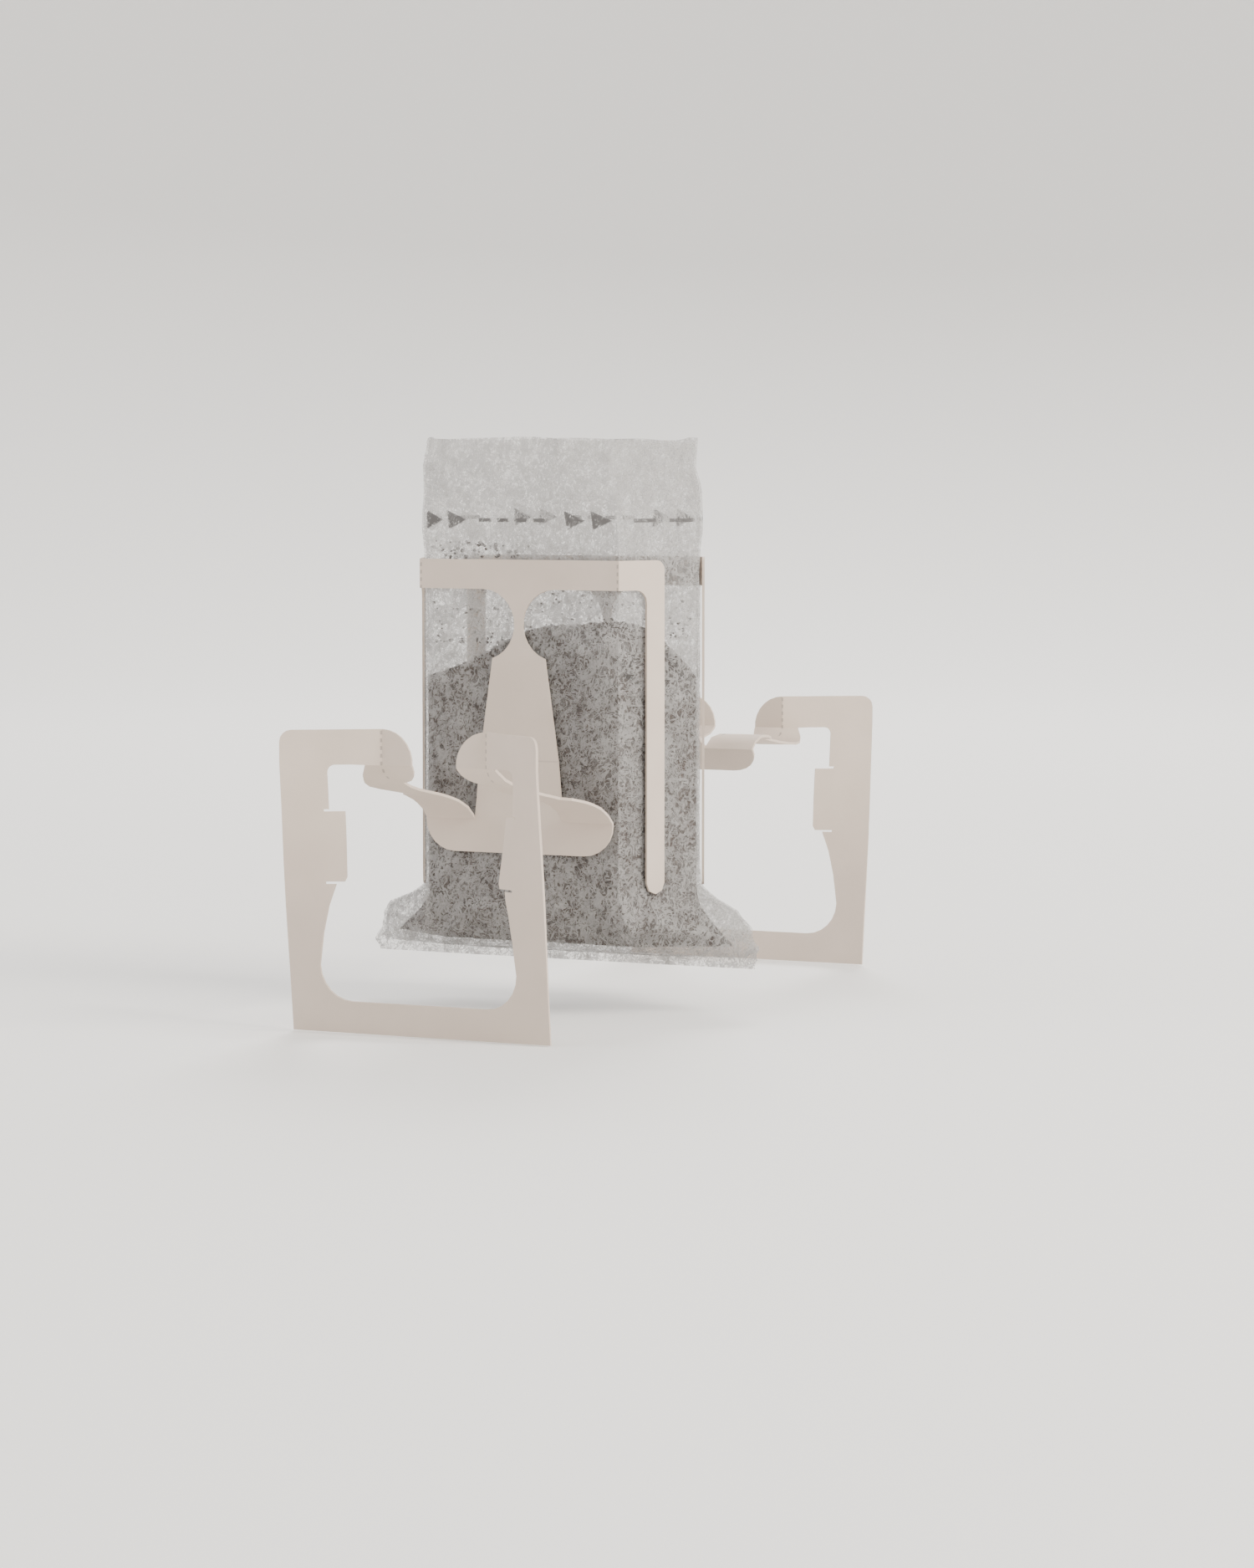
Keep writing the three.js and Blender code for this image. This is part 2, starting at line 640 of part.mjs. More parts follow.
// One card, folded round the front of the bag. The one at the back is the same card turned round.
function hangerCardGeometry(swing) {
  const flat = flatCard();
  const run = strapRun(swing);
  const used = [...new Set(flat.faces.flat())];
  const place = new Map(used.map((index, i) => [index, i]));
  const folded = used.map((index) => {
    const { x, y, z } = foldedPoint(flat.points[index], swing, run);
    return new THREE.Vector3(x, -y, z);
  });
  return thickened(folded, flat.faces.map((face) => face.map((i) => place.get(i))), cardThickness);
}

function named(name, geometry, material) {
  const mesh = new THREE.Mesh(geometry, material);
  mesh.name = name;
  return mesh;
}

const part = new THREE.Group();
part.add(named("filter_bag", filterBagGeometry(), filterMaterial));
part.add(named("coffee_grounds", coffeeGeometry(), coffeeMaterial));
part.add(named("hanger_card_front", hangerCardGeometry(frontStemSwing), cardMaterial));
const rearCard = named("hanger_card_rear", hangerCardGeometry(rearStemSwing), cardMaterial);
rearCard.rotation.z = Math.PI;
part.add(rearCard);

export default part;
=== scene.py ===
"""Drip coffee bag: paper hanger cards, a nonwoven filter bag and the ground coffee in it."""

import math
import random

import bmesh
import bpy
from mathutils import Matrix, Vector, noise


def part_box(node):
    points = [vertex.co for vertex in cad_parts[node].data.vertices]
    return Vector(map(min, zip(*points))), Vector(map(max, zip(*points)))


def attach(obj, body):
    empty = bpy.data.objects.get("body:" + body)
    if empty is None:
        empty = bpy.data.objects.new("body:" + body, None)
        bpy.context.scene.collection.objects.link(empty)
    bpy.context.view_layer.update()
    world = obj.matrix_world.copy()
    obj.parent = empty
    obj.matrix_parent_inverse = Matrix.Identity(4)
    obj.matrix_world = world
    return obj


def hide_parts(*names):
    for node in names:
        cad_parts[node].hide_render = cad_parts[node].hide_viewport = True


bl_info = {
    "name": "Drip coffee bag",
    "version": (1, 0, 0),
    "blender": (4, 5, 0),
    "location": "3D View > Sidebar > Drip bag",
    "description": "Fine filter bag, coffee and hanger cards on the packed frame",
    "category": "Object",
}

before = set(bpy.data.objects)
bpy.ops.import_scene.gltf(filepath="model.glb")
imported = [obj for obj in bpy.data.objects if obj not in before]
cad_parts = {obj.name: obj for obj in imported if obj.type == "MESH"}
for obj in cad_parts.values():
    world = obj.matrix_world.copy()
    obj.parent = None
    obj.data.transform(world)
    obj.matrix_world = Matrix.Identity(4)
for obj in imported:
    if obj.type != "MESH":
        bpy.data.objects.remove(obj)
MM = 0.001
MOUTH_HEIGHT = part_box("filter_bag")[1][2]
FLOOR_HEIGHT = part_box("hanger_card_front")[0][2] - 0.2 * MM

# Heights and reaches on the cards and the bag, from the frame's origin
BAR_BOTTOM = 31 * MM
BAR_TOP = 41 * MM
LOOP_NEAREST = 45 * MM
LOOP_CREASE_BOTTOM = 0.2 * MM
FARTHEST = 145 * MM
SCORE_HEIGHT = 1.8 * MM
STEM_HALF_WIDTH = 7.6 * MM
BAG_REACH = 18 * MM
TEAR_HEIGHT = 43.2 * MM
COFFEE_SHOULDER = 8 * MM
INNER_WALL = 15.75 * MM
PANEL_HALF_WIDTH = 17.5 * MM
EAR_BOTTOM = -32.5 * MM
EAR_TOP = -20.5 * MM
EAR_START = 16 * MM
MOUTH_START = 38 * MM
LOW_CRUMPLE_TOP = -21.6 * MM
LOW_CRUMPLE_BOTTOM = -33.8 * MM
SIDE_PANEL_START = 19.3 * MM
SIDE_PANEL_BOTTOM = -20 * MM
SIDE_PANEL_TOP = 37 * MM

# Areas of the panels that no card holds back: nearest and farthest across, lowest and highest
BESIDE_STEM = (9.3 * MM, 18.4 * MM, -4.5 * MM, 30 * MM)
UNDER_BOAT = (-1 * MM, 18.6 * MM, -26 * MM, -15.2 * MM)

# The stage and the camera
COVE_FLOOR = 1.0
COVE_BEND = 0.9
COVE_TOP = 1.7
COVE_STEPS = 16
COVE_SIDES = 96
CAMERA_PLACE = (0.3604, -0.7135, 0.056)
CAMERA_LENS = 104.6
CAMERA_TILT = math.radians(85.75)
CAMERA_TURN = math.radians(26.0)

# Node types and sockets that come up often; a Mix node's colours are its sockets 6 and 7
MATHS = "ShaderNodeMath"
NOISE = "ShaderNodeTexNoise"
PRINCIPLED = "ShaderNodeBsdfPrincipled"
FIRST_COLOUR, SECOND_COLOUR, MIXED_COLOUR = 6, 7, 2


class FilterSizes(bpy.types.PropertyGroup):
    """The filter bag's fabric"""

    fabric: bpy.props.StringProperty(name="Fabric", description="Colour of the fabric", default="#B7B5B3")
    print_ink: bpy.props.StringProperty(name="Ink", description="Colour of the tear mark", default="#6E6C6B")
    crumple: bpy.props.FloatProperty(
        name="Crumple", description="Height of the wrinkles near the mouth", default=1.3 * MM, unit="LENGTH"
    )
    low_crumple: bpy.props.FloatProperty(
        name="Low crumple", description="Height of wrinkles near the seal", default=1.25 * MM, unit="LENGTH"
    )
    bulge: bpy.props.FloatProperty(
        name="Bulge", description="How far the coffee swells the panels", default=0.75 * MM, unit="LENGTH"
    )
    dip: bpy.props.FloatProperty(
        name="Dip", description="How far the side panels fall in", default=0.3 * MM, unit="LENGTH"
    )
    ear: bpy.props.FloatProperty(
        name="Ear", description="How far the sealed corners stand out", default=3.4 * MM, unit="LENGTH"
    )
    repeat: bpy.props.FloatProperty(
        name="Repeat", description="Distance from one tear mark to the next", default=27.5 * MM, unit="LENGTH"
    )


class CoffeeSizes(bpy.types.PropertyGroup):
    """The ground coffee"""

    roast: bpy.props.StringProperty(name="Roast", description="Colour of the coffee", default="#3E2B20")
    grain: bpy.props.FloatProperty(
        name="Grain", description="Radius of one coarse grain", default=0.42 * MM, unit="LENGTH"
    )
    grains: bpy.props.IntProperty(name="Grains", description="Loose grains on the heap", default=3600)
    specks: bpy.props.IntProperty(name="Specks", description="Fine grains on the bag's walls", default=420)
    fall: bpy.props.FloatProperty(
        name="Fall", description="How far the heap drops to the right", default=6.5 * MM, unit="LENGTH"
    )


class CardSizes(bpy.types.PropertyGroup):
    """The die-cut cards"""

    board: bpy.props.StringProperty(name="Board", description="Colour of the board", default="#D5C6B9")
    crease: bpy.props.FloatProperty(
        name="Crease", description="Place across the card of the bar's crease", default=19 * MM, unit="LENGTH"
    )
    loop_crease: bpy.props.FloatProperty(
        name="Loop crease",
        description="Place across the card of the loop's crease",
        default=9.9 * MM,
        unit="LENGTH",
    )


def linear(code):
    """sRGB hex to a linear colour"""
    parts = [int(code[i : i + 2], 16) / 255 for i in (1, 3, 5)]
    return [c / 12.92 if c <= 0.04045 else ((c + 0.055) / 1.055) ** 2.4 for c in parts] + [1.0]


def rising(value, start, run):
    """0 up to start, then rising to 1 over run"""
    return min(1.0, max(0.0, (value - start) / run))


def window(value, low, high, soft):
    """1 between low and high, falling to 0 over soft on both sides"""
    return max(0.0, min(1.0, (value - low) / soft, (high - value) / soft))


def add_node(tree, kind, settings=None, inputs=None):
    """A shader node with its settings, each input being a plain value or the socket that feeds it"""
    node = tree.nodes.new(kind)
    for name, value in (settings or {}).items():
        setattr(node, name, value)
    for socket, value in (inputs or {}).items():
        if isinstance(value, bpy.types.NodeSocket):
            tree.links.new(value, node.inputs[socket])
        else:
            node.inputs[socket].default_value = value
    return node


def blank(name):
    """A new material without nodes, and its node tree"""
    material = bpy.data.materials.new(name)
    material.use_nodes = True
    material.node_tree.nodes.clear()
    return material, material.node_tree


def cuts_and_score_shade(tree, place, sizes):
    """Dashed cuts along the creases, and painted shade along the score across the stem, from 0 to 1"""
    parts = add_node(tree, "ShaderNodeSeparateXYZ", None, {0: place})
    across = add_node(tree, MATHS, {"operation": "ABSOLUTE"}, {0: parts.outputs["X"]}).outputs[0]
    away = add_node(tree, MATHS, {"operation": "ABSOLUTE"}, {0: parts.outputs["Y"]}).outputs[0]
    height = parts.outputs["Z"]
    # one dash and one gap take 1.3 mm, and a cut or score is about 0.3 mm wide
    turns = 2 * math.pi / (1.3 * MM)
    phase = add_node(tree, MATHS, {"operation": "MULTIPLY"}, {0: height, 1: turns}).outputs[0]
    wave = add_node(tree, MATHS, {"operation": "SINE"}, {0: phase}).outputs[0]
    dash = add_node(tree, MATHS, {"operation": "GREATER_THAN"}, {0: wave, 1: 0.0}).outputs[0]
    cut = add_node(tree, MATHS, {"operation": "MULTIPLY"}, {0: dash, 1: 0.6}).outputs[0]
    # the score is a pressed groove without ink, so its faint darker line is painted shade
    score = 0.25
    half_cut, half_score = 0.16 * MM, 0.14 * MM
    marks = 0.0
    for strength, low, high in (
        (
            cut,
            (sizes.crease - half_cut, 0, BAR_BOTTOM),
            (sizes.crease + half_cut, FARTHEST, BAR_TOP),
        ),
        (
            cut,
            (sizes.loop_crease - half_cut, LOOP_NEAREST, LOOP_CREASE_BOTTOM),
            (sizes.loop_crease + half_cut, FARTHEST, BAR_TOP),
        ),
        (
            score,
            (-STEM_HALF_WIDTH, -BAG_REACH, SCORE_HEIGHT - half_score),
            (STEM_HALF_WIDTH, BAG_REACH, SCORE_HEIGHT + half_score),
        ),
    ):
        mark = strength
        for distance, start, end in zip((across, away, height), low, high):
            span = {0: distance, 1: (start + end) / 2, 2: (end - start) / 2}
            near = add_node(tree, MATHS, {"operation": "COMPARE"}, span).outputs[0]
            mark = add_node(tree, MATHS, {"operation": "MULTIPLY"}, {0: mark, 1: near}).outputs[0]
        marks = add_node(tree, MATHS, {"operation": "MAXIMUM"}, {0: marks, 1: mark}).outputs[0]
    return marks


def paperboard(sizes):
    """Uncoated folding boxboard, calendered: matt, with a fine fibre grain and a soft mottle"""
    material, tree = blank("uncoated paperboard")
    place = add_node(tree, "ShaderNodeTexCoord").outputs["Object"]
    # the fibre clumps are 0.5 mm across and the mottle 7 mm
    fibres = add_node(tree, NOISE, None, {"Scale": 1 / (0.5 * MM), "Detail": 4.0, "Vector": place})
    mottle = add_node(tree, NOISE, None, {"Scale": 1 / (7 * MM), "Detail": 3.0, "Vector": place})
    board = {0: mottle.outputs["Fac"], FIRST_COLOUR: linear("#C8B9AC"), SECOND_COLOUR: linear(sizes.board)}
    tint = add_node(tree, "ShaderNodeMix", {"data_type": "RGBA"}, board).outputs[MIXED_COLOUR]
    # darker colour for the dashed cuts, and for the painted shade along the score
    cut_and_shade_colours = {0: cuts_and_score_shade(tree, place, sizes), FIRST_COLOUR: tint, SECOND_COLOUR: linear("#7D756E")}
    colour = add_node(tree, "ShaderNodeMix", {"data_type": "RGBA"}, cut_and_shade_colours).outputs[MIXED_COLOUR]
    grain = {"Strength": 0.25, "Distance": 0.08 * MM, "Height": fibres.outputs["Fac"]}
    bump = add_node(tree, "ShaderNodeBump", None, grain).outputs[0]
    surface = {"Roughness": 0.78, "IOR": 1.5, "Base Color": colour, "Normal": bump}
    skin = add_node(tree, PRINCIPLED, None, surface)
    # a little light comes through the board
    glow = add_node(tree, "ShaderNodeBsdfTranslucent", None, {"Color": linear("#E9DCCB")})
    mixed = add_node(tree, "ShaderNodeMixShader", None, {0: 0.12, 1: skin.outputs[0], 2: glow.outputs[0]})
    add_node(tree, "ShaderNodeOutputMaterial", None, {0: mixed.outputs[0]})
    return material


def tear_mark(tree, place, sizes):
    """A row of dashes and then two arrowheads, repeated round the bag, from 0 to 1"""
    parts = add_node(tree, "ShaderNodeSeparateXYZ", None, {0: place})
    start = {0: parts.outputs["X"], 1: 0.27 * sizes.repeat}
    shifted = add_node(tree, MATHS, {"operation": "ADD"}, start).outputs[0]
    run = add_node(tree, MATHS, {"operation": "WRAP"}, {0: shifted, 1: sizes.repeat, 2: 0.0}).outputs[0]
    centred = {0: parts.outputs["Z"], 1: TEAR_HEIGHT}
    above = add_node(tree, MATHS, {"operation": "SUBTRACT"}, centred).outputs[0]
    level = add_node(tree, MATHS, {"operation": "ABSOLUTE"}, {0: above}).outputs[0]
    dash_step, dash_length, row_length, line_half = 3.6 * MM, 2.232 * MM, 14.2 * MM, 0.32 * MM
    step = add_node(tree, MATHS, {"operation": "WRAP"}, {0: run, 1: dash_step, 2: 0.0}).outputs[0]
    mark = 1.0
    for distance, limit in ((level, line_half), (step, dash_length), (run, row_length)):
        inside = add_node(tree, MATHS, {"operation": "LESS_THAN"}, {0: distance, 1: limit}).outputs[0]
        mark = add_node(tree, MATHS, {"operation": "MULTIPLY"}, {0: mark, 1: inside}).outputs[0]
    head_length, head_slope = 3.4 * MM, 0.47
    for head_start in (17.0 * MM, 21.6 * MM):
        along = add_node(tree, MATHS, {"operation": "SUBTRACT"}, {0: run, 1: head_start}).outputs[0]
        side = {0: along, 1: -head_slope, 2: head_length * head_slope}
        edge = add_node(tree, MATHS, {"operation": "MULTIPLY_ADD"}, side).outputs[0]
        begun = add_node(tree, MATHS, {"operation": "GREATER_THAN"}, {0: along, 1: 0.0}).outputs[0]
        within = add_node(tree, MATHS, {"operation": "LESS_THAN"}, {0: level, 1: edge}).outputs[0]
        head = add_node(tree, MATHS, {"operation": "MULTIPLY"}, {0: begun, 1: within}).outputs[0]
        mark = add_node(tree, MATHS, {"operation": "MAXIMUM"}, {0: mark, 1: head}).outputs[0]
    return mark


def long_strands(tree, place):
    """Single long fibres that lie across each other in three directions, from 0 to 1"""
    strands = 0.0
    for lean, half_width in ((38, 0.027), (-52, 0.024), (81, 0.021)):
        tilt = math.radians(lean)
        # turned, and then drawn out to six times their width
        layout = {"Rotation": (tilt, tilt, 0), "Scale": (1.0, 1.0, 6.0), "Vector": place}
        turned = add_node(tree, "ShaderNodeMapping", {"vector_type": "TEXTURE"}, layout).outputs[0]
        pattern = {"Scale": 1 / (1.5 * MM), "Detail": 1.0, "Distortion": 1.1, "Vector": turned}
        field = add_node(tree, NOISE, None, pattern).outputs["Fac"]
        strand = add_node(tree, MATHS, {"operation": "COMPARE"}, {0: field, 1: 0.5, 2: half_width}).outputs[0]
        strands = add_node(tree, MATHS, {"operation": "MAXIMUM"}, {0: strands, 1: strand}).outputs[0]
    return strands


def nonwoven(sizes):
    """Spunbond filter fabric: thin random fibres that light and the dark coffee show through"""
    material, tree = blank("spunbond nonwoven fabric")
    place = add_node(tree, "ShaderNodeTexCoord").outputs["Object"]
    # real fibres are about 0.02 mm thick and wouldn't show, so they are drawn 0.55 mm apart
    layout = {"Rotation": (math.radians(35), math.radians(40), 0), "Scale": (1.0, 1.0, 2.6), "Vector": place}
    turned = add_node(tree, "ShaderNodeMapping", {"vector_type": "TEXTURE"}, layout).outputs[0]
    pattern = {"Scale": 1 / (0.55 * MM), "Detail": 6.0, "Distortion": 1.6, "Vector": turned}
    fibres = add_node(tree, NOISE, None, pattern).outputs["Fac"]
    patches = {"Scale": 1 / (3.5 * MM), "Detail": 3.0, "Vector": place}
    clouds = add_node(tree, NOISE, None, patches).outputs["Fac"]
    # the ink stays only on the upper fibres
    worn = add_node(tree, MATHS, {"operation": "GREATER_THAN"}, {0: fibres, 1: 0.43}).outputs[0]
    printed = {0: tear_mark(tree, place, sizes), 1: worn}
    ink = add_node(tree, MATHS, {"operation": "MULTIPLY"}, printed).outputs[0]
    tints = {0: ink, FIRST_COLOUR: linear(sizes.fabric), SECOND_COLOUR: linear(sizes.print_ink)}
    colour = add_node(tree, "ShaderNodeMix", {"data_type": "RGBA"}, tints).outputs[MIXED_COLOUR]
    relief = {"Strength": 0.35, "Distance": 0.1 * MM, "Height": fibres}
    bump = add_node(tree, "ShaderNodeBump", None, relief).outputs[0]
    surface = {"Roughness": 0.85, "IOR": 1.45, "Base Color": colour, "Normal": bump}
    skin = add_node(tree, PRINCIPLED, None, surface)
    through = add_node(tree, "ShaderNodeBsdfTranslucent", None, {"Color": colour})
    cloth = add_node(tree, "ShaderNodeMixShader", None, {0: 0.42, 1: skin.outputs[0], 2: through.outputs[0]})
    clear = add_node(tree, "ShaderNodeBsdfTransparent")
    # the open share is least where fibres and clouds are dense, on a long strand and under ink
    open_base, strand_cover, dense_cover = 1.49, 0.45, 0.66
    dense = add_node(tree, MATHS, {"operation": "ADD"}, {0: fibres, 1: clouds}).outputs[0]
    between = {0: long_strands(tree, place), 1: -strand_cover, 2: open_base}
    between = add_node(tree, MATHS, {"operation": "MULTIPLY_ADD"}, between).outputs[0]
    thinned = {0: dense, 1: -dense_cover, 2: between}
    gaps = add_node(tree, MATHS, {"operation": "MULTIPLY_ADD"}, thinned).outputs[0]
    clean = add_node(tree, MATHS, {"operation": "SUBTRACT"}, {0: 1.0, 1: ink}).outputs[0]
    share = add_node(tree, MATHS, {"operation": "MULTIPLY"}, {0: gaps, 1: clean}).outputs[0]
    limited = add_node(tree, "ShaderNodeClamp", None, {"Value": share, "Min": 0.08, "Max": 0.9}).outputs[0]
    layers = {0: limited, 1: cloth.outputs[0], 2: clear.outputs[0]}
    mixed = add_node(tree, "ShaderNodeMixShader", None, layers)
    add_node(tree, "ShaderNodeOutputMaterial", None, {0: mixed.outputs[0]})
    return material


def roasted_coffee(sizes):
    """Ground roasted coffee: matt brown grit with darker and paler grains"""
    material, tree = blank("ground roasted coffee")
    place = add_node(tree, "ShaderNodeTexCoord").outputs["Object"]
    # grains 0.7 mm apart, with clumps of 4 mm
    cells = {"Scale": 1 / (0.7 * MM), "Vector": place}
    grit = add_node(tree, "ShaderNodeTexVoronoi", None, cells).outputs["Distance"]
    patches = {"Scale": 1 / (4 * MM), "Detail": 4.0, "Vector": place}
    clumps = add_node(tree, NOISE, None, patches).outputs["Fac"]
    total = add_node(tree, MATHS, {"operation": "ADD"}, {0: grit, 1: clumps}).outputs[0]
    blend = add_node(tree, MATHS, {"operation": "MULTIPLY"}, {0: total, 1: 0.6}).outputs[0]
    tints = {0: blend, FIRST_COLOUR: linear("#1B110C"), SECOND_COLOUR: linear(sizes.roast)}
    colour = add_node(tree, "ShaderNodeMix", {"data_type": "RGBA"}, tints).outputs[MIXED_COLOUR]
    relief = {"Strength": 0.9, "Distance": 0.4 * MM, "Height": grit}
    bump = add_node(tree, "ShaderNodeBump", None, relief).outputs[0]
    skin = add_node(tree, PRINCIPLED, None, {"Roughness": 0.82, "Base Color": colour, "Normal": bump})
    add_node(tree, "ShaderNodeOutputMaterial", None, {0: skin.outputs[0]})
    return material


def merged_copy(node):
    """A copy of a CAD node with its loose triangles joined"""
    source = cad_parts[node]
    shape = bmesh.new()
    shape.from_mesh(source.data)
    shape.transform(source.matrix_world)
    bmesh.ops.remove_doubles(shape, verts=shape.verts, dist=0.002 * MM)
    return shape


def finished(shape, name, material, node, sharp):
    """The finished piece that stands for a CAD node, smooth but for edges over sharp degrees"""
    mesh = bpy.data.meshes.new(name)
    for face in shape.faces:
        face.smooth = True
    for edge in shape.edges:
        edge.smooth = len(edge.link_faces) == 2 and edge.calc_face_angle(0) < math.radians(sharp)
    shape.to_mesh(mesh)
    shape.free()
    piece = bpy.data.objects.new(name, mesh)
    bpy.context.scene.collection.objects.link(piece)
    mesh.materials.append(material)
    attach(piece, "root")
    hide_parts(node)
    return piece


def ridged(place):
    """Sharp fold lines of crumpled fabric, from 0 to 1"""
    return 1 - min(1.0, abs(noise.noise(place)) * 3.2)


def freed(place, area, soft_across, soft_up):
    """1 inside an area of the panels, falling to 0 over the soft lengths at its sides"""
    nearest, farthest, lowest, highest = area
    return window(abs(place.x), nearest, farthest, soft_across) * window(place.z, lowest, highest, soft_up)


def crumpled(place, sizes):
    """How far the fabric stands out from the plain bag at a place"""
    x, y, z = (c / MM for c in place)
    # moves the pattern at the back, so that it doesn't repeat the front's
    shift = 31 if y > 0 else 0
    # the lengths of the waves are in millimetres: broad ones, small ones and two sets of sharp folds
    wave = noise.noise(Vector((x / 11 + shift, y / 11, z / 15)))
    fine = noise.noise(Vector((x / 3.6, y / 3.6 + shift, z / 5.5)))
    fold = ridged(Vector((x / 13 + z / 17 + shift, y / 12, z / 16 - x / 20)))
    crease = ridged(Vector((x / 7 - z / 12, y / 8 + shift, z / 12 + x / 15)))
    mouth = rising(place.z, MOUTH_START, 10 * MM)
    low = rising(-place.z, -LOW_CRUMPLE_TOP, 4 * MM) * rising(place.z, LOW_CRUMPLE_BOTTOM, 3 * MM)
    free = max(freed(place, BESIDE_STEM, 2.2 * MM, 4 * MM), freed(place, UNDER_BOAT, 3 * MM, 2 * MM))
    on_side = abs(place.x) > SIDE_PANEL_START and SIDE_PANEL_BOTTOM < place.z < SIDE_PANEL_TOP
    upper = (1.5 * wave + 0.25 * fine + 0.8 * fold) * mouth
    # never inside the plain bag near the seal, where the coffee lies close behind
    lower = max(0.0, 0.35 + 1.2 * wave + 0.35 * fine + 1.3 * fold + 0.6 * crease) * low
    swollen = (0.7 + 0.4 * fine + 0.7 * fold + 0.35 * crease) * free
    sunken = (0.5 + 0.5 * fine + 0.8 * fold) * (1 - mouth) * (1 - low) if on_side else 0.0
    out = upper * sizes.crumple + lower * sizes.low_crumple
    return out + swollen * sizes.bulge - sunken * sizes.dip


class DRIPBAG_OT_filter(bpy.types.Operator):
    """Make the nonwoven filter bag with its wrinkles, full ears and uneven mouth"""

    bl_idname = "dripbag.filter"
    bl_label = "Filter bag"

    def execute(self, context):
        sizes = context.scene.drip_filter
        shape = merged_copy("filter_bag")
        bmesh.ops.subdivide_edges(shape, edges=shape.edges, cuts=3, use_grid_fill=True)
        for vert in shape.verts:
            # mostly forwards or back, so that the panels keep their edges
            outwards = Vector((vert.co.x * 0.35, vert.co.y, 0))
            if outwards.length > 1e-6:
                vert.co += outwards.normalized() * crumpled(vert.co, sizes)
            ear = window(vert.co.z, EAR_BOTTOM, EAR_TOP, 5 * MM) * rising(abs(vert.co.x), EAR_START, 9 * MM)
            vert.co.x += math.copysign(sizes.ear * ear, vert.co.x)
            vert.co.y *= 1 + 0.22 * ear
            near_mouth = rising(vert.co.z / MOUTH_HEIGHT, 0.9, 0.1)
            vert.co.z -= 0.9 * MM * near_mouth * (0.5 + noise.noise(vert.co / (14 * MM)))
        piece = finished(shape, "filter_bag_fabric", nonwoven(sizes), "filter_bag", sharp=55)
        return {"FINISHED"}


def add_grains(shape, spots, draw):
    """Small broken lumps at (place, radius) spots, made in small lots because one large lot is slow"""
    lot_size = 60
    for start in range(0, len(spots), lot_size):
        lot = bmesh.new()
        for spot, radius in spots[start : start + lot_size]:
            made = bmesh.ops.create_icosphere(lot, subdivisions=1, radius=radius)
            stretch = [draw.uniform(0.7, 1.3), draw.uniform(0.7, 1.3), draw.uniform(0.6, 1.0)]
            for vert in made["verts"]:
                broken = draw.uniform(0.75, 1.1)
                vert.co = spot + Vector([c * s * broken for c, s in zip(vert.co, stretch)])
        lumps = bpy.data.meshes.new("coffee_lumps")
        lot.to_mesh(lumps)
        lot.free()
        shape.from_mesh(lumps)
        bpy.data.meshes.remove(lumps)


def heap_grains(shape, sizes, draw):
    """Loose grains scattered evenly over the top of the heap"""
    raised = [face for face in shape.faces if face.calc_center_median().z > COFFEE_SHOULDER]
    tops = [face for face in raised if face.normal.z > 0.6]
    spots = []
    areas = [face.calc_area() for face in tops]
    for face in draw.choices(tops, areas, k=sizes.grains):
        a, b, c = (vert.co.copy() for vert in face.verts)
        s, t = sorted((draw.random(), draw.random()))
        spots.append(a * s + b * (t - s) + c * (1 - t))
    return spots


def wall_specks(sizes, draw):
    """Fine grains on both panels above the heap, with a patch of coarser ones on the front's left"""
    fine_radius, coarse_radius = 0.32 * MM, 0.36 * MM
    specks = []
    for _ in range(sizes.specks):
        side = draw.choice((-1, 1))
        across = draw.uniform(-PANEL_HALF_WIDTH, PANEL_HALF_WIDTH)
        height = (22 + 14 * draw.random() ** 2.2) * MM
        spot = Vector((across, side * INNER_WALL, height))
        specks.append((spot, fine_radius * draw.uniform(0.4, 1.1)))
    for _ in range(sizes.specks // 3):
        across = draw.gauss(-9, 4.5) * MM
        height = (31 + 8.5 * draw.random() ** 0.8) * MM
        spot = Vector((across, -INNER_WALL, height))
        if abs(across) < PANEL_HALF_WIDTH:
            specks.append((spot, coarse_radius * draw.uniform(0.4, 1.2)))
    return specks


class DRIPBAG_OT_coffee(bpy.types.Operator):
    """Make the heap of ground coffee, its loose grains and the specks on the walls"""

    bl_idname = "dripbag.coffee"
    bl_label = "Ground coffee"

    def execute(self, context):
        sizes = context.scene.drip_coffee
        draw = random.Random(7)
        shape = merged_copy("coffee_grounds")
        for vert in shape.verts:
            # the slope starts near the middle and steepens to the right
            right = rising(vert.co.x, 2 * MM, 16 * MM) ** 1.6
            vert.co.z -= sizes.fall * right * rising(vert.co.z, COFFEE_SHOULDER, 6 * MM)
        shape.normal_update()
        spots = heap_grains(shape, sizes, draw)
        bmesh.ops.subdivide_edges(shape, edges=shape.edges, cuts=3, use_grid_fill=True)
        shape.normal_update()
        for vert in shape.verts:
            rough = noise.noise(vert.co / (1.4 * MM)) * 0.5 + noise.noise(vert.co / (4 * MM)) * 0.9
            if vert.normal.z > 0.5 and vert.co.z > COFFEE_SHOULDER:
                vert.co.z += rough * 0.9 * MM
            else:
                vert.co -= vert.normal * abs(rough) * 0.25 * MM
        grains = []
        for spot in spots:
            # a little inwards, clear of the fabric
            inward = Vector((spot.x * 0.975, spot.y * 0.965, spot.z + 0.1 * MM))
            grains.append((inward, sizes.grain * draw.uniform(0.5, 1.5)))
        grains += wall_specks(sizes, draw)
        add_grains(shape, grains, draw)
        finished(shape, "coffee_heap", roasted_coffee(sizes), "coffee_grounds", sharp=70)
        return {"FINISHED"}


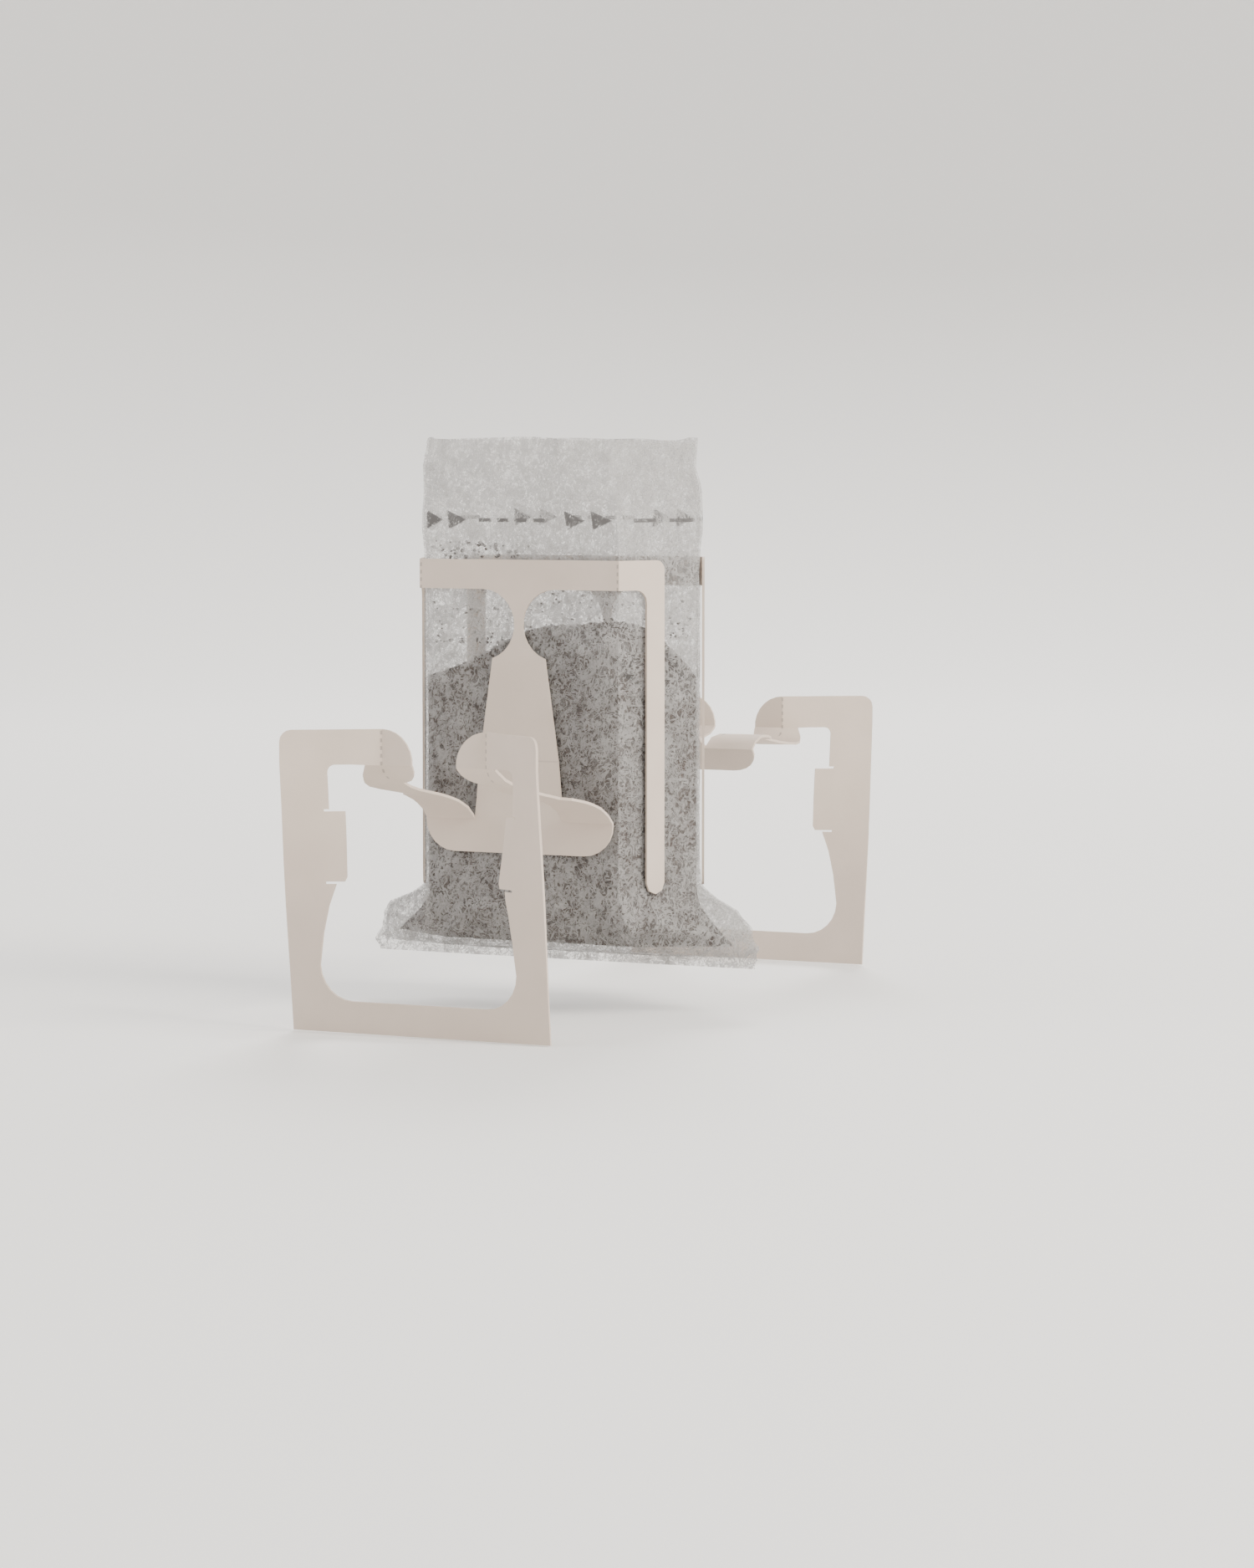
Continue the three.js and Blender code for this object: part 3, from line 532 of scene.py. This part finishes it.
class DRIPBAG_OT_cards(bpy.types.Operator):
    """Give both folded cards their board, with crisp die-cut edges"""

    bl_idname = "dripbag.cards"
    bl_label = "Hanger cards"

    def execute(self, context):
        board = paperboard(context.scene.drip_card)
        for side in ("front", "rear"):
            node = "hanger_card_" + side
            finished(merged_copy(node), side + "_hanger_card", board, node, sharp=32)
        return {"FINISHED"}


def round_cove():
    """A pale matt floor that curves up into a wall on every side"""
    profile = [(0.0, 0.0), (COVE_FLOOR / 2, 0.0), (COVE_FLOOR, 0.0)]
    for index in range(1, COVE_STEPS + 1):
        angle = math.radians(90 * index / COVE_STEPS)
        profile.append((COVE_FLOOR + COVE_BEND * math.sin(angle), COVE_BEND * (1 - math.cos(angle))))
    profile.append((COVE_FLOOR + COVE_BEND, COVE_TOP))
    shape = bmesh.new()
    verts = [shape.verts.new((reach, 0, FLOOR_HEIGHT + rise)) for reach, rise in profile]
    edges = [shape.edges.new(pair) for pair in zip(verts, verts[1:])]
    bmesh.ops.spin(
        shape,
        geom=verts + edges,
        angle=2 * math.pi,
        steps=COVE_SIDES,
        axis=(0, 0, 1),
        cent=(0, 0, 0),
        use_merge=True,
    )
    bmesh.ops.remove_doubles(shape, verts=shape.verts, dist=0.01 * MM)
    bmesh.ops.recalc_face_normals(shape, faces=shape.faces)
    for face in shape.faces:
        face.smooth = True
    mesh = bpy.data.meshes.new("pale_floor")
    shape.to_mesh(mesh)
    shape.free()
    floor = bpy.data.objects.new("pale_floor", mesh)
    bpy.context.scene.collection.objects.link(floor)
    material, tree = blank("pale matt floor")
    # it glows faintly, which evens out the light on the wall
    surface = {"Base Color": linear("#DEDCD9"), "Roughness": 0.8}
    surface.update({"Emission Color": linear("#E6E5E3"), "Emission Strength": 0.3})
    skin = add_node(tree, PRINCIPLED, None, surface)
    add_node(tree, "ShaderNodeOutputMaterial", None, {0: skin.outputs[0]})
    mesh.materials.append(material)
    return floor


def area_light(name, place, size, power, colour):
    """A square lamp that faces the origin"""
    data = bpy.data.lights.new(name, "AREA")
    data.size = size
    data.energy = power
    data.color = linear(colour)[:3]
    light = bpy.data.objects.new(name, data)
    light.location = place
    light.rotation_euler = (-Vector(place)).to_track_quat("-Z", "Y").to_euler()
    bpy.context.scene.collection.objects.link(light)
    return light


class DRIPBAG_OT_stage(bpy.types.Operator):
    """Set the pale floor, the soft light and the camera"""

    bl_idname = "dripbag.stage"
    bl_label = "Stage"

    def execute(self, context):
        scene = context.scene
        round_cove()
        # places and sizes in metres, powers in watts
        for name, place, size, power, colour in (
            ("key_window", (1.05, -0.1, 0.7), 0.6, 26.0, "#FFFBF4"),
            ("left_fill", (-0.95, -0.75, 0.5), 0.9, 6.0, "#F1F5FF"),
            ("back_rim", (-0.35, 1.0, 0.8), 0.5, 15.0, "#FFFFFF"),
        ):
            area_light(name, place, size, power, colour)
        world = bpy.data.worlds.new("soft room")
        world.use_nodes = True
        world.node_tree.nodes["Background"].inputs["Color"].default_value = linear("#E6E4E1")
        world.node_tree.nodes["Background"].inputs["Strength"].default_value = 0.95
        scene.world = world
        data = bpy.data.cameras.new("camera")
        data.lens = CAMERA_LENS
        data.sensor_width = 36
        data.clip_start = 0.01
        camera = bpy.data.objects.new("camera", data)
        camera.location = CAMERA_PLACE
        camera.rotation_euler = (CAMERA_TILT, 0, CAMERA_TURN)
        scene.collection.objects.link(camera)
        scene.camera = camera
        return {"FINISHED"}


class DRIPBAG_PT_panel(bpy.types.Panel):
    """Lists the drip bag's sizes, colours and operators"""

    bl_idname = "DRIPBAG_PT_panel"
    bl_label = "Drip bag"
    bl_space_type = "VIEW_3D"
    bl_region_type = "UI"
    bl_category = "Drip bag"

    def draw(self, context):
        for group in (context.scene.drip_filter, context.scene.drip_coffee, context.scene.drip_card):
            for name in group.__annotations__:
                self.layout.prop(group, name)
        for operator in OPERATORS:
            self.layout.operator(operator.bl_idname)


OPERATORS = (DRIPBAG_OT_filter, DRIPBAG_OT_coffee, DRIPBAG_OT_cards, DRIPBAG_OT_stage)
CLASSES = (FilterSizes, CoffeeSizes, CardSizes, *OPERATORS, DRIPBAG_PT_panel)


def register():
    for item in CLASSES:
        bpy.utils.register_class(item)
    bpy.types.Scene.drip_filter = bpy.props.PointerProperty(type=FilterSizes)
    bpy.types.Scene.drip_coffee = bpy.props.PointerProperty(type=CoffeeSizes)
    bpy.types.Scene.drip_card = bpy.props.PointerProperty(type=CardSizes)


def unregister():
    del bpy.types.Scene.drip_card, bpy.types.Scene.drip_coffee, bpy.types.Scene.drip_filter
    for item in reversed(CLASSES):
        bpy.utils.unregister_class(item)


def main():
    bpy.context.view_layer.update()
    register()
    bpy.ops.dripbag.filter()
    bpy.ops.dripbag.coffee()
    bpy.ops.dripbag.cards()
    bpy.ops.dripbag.stage()


if __name__ == "__main__":
    main()
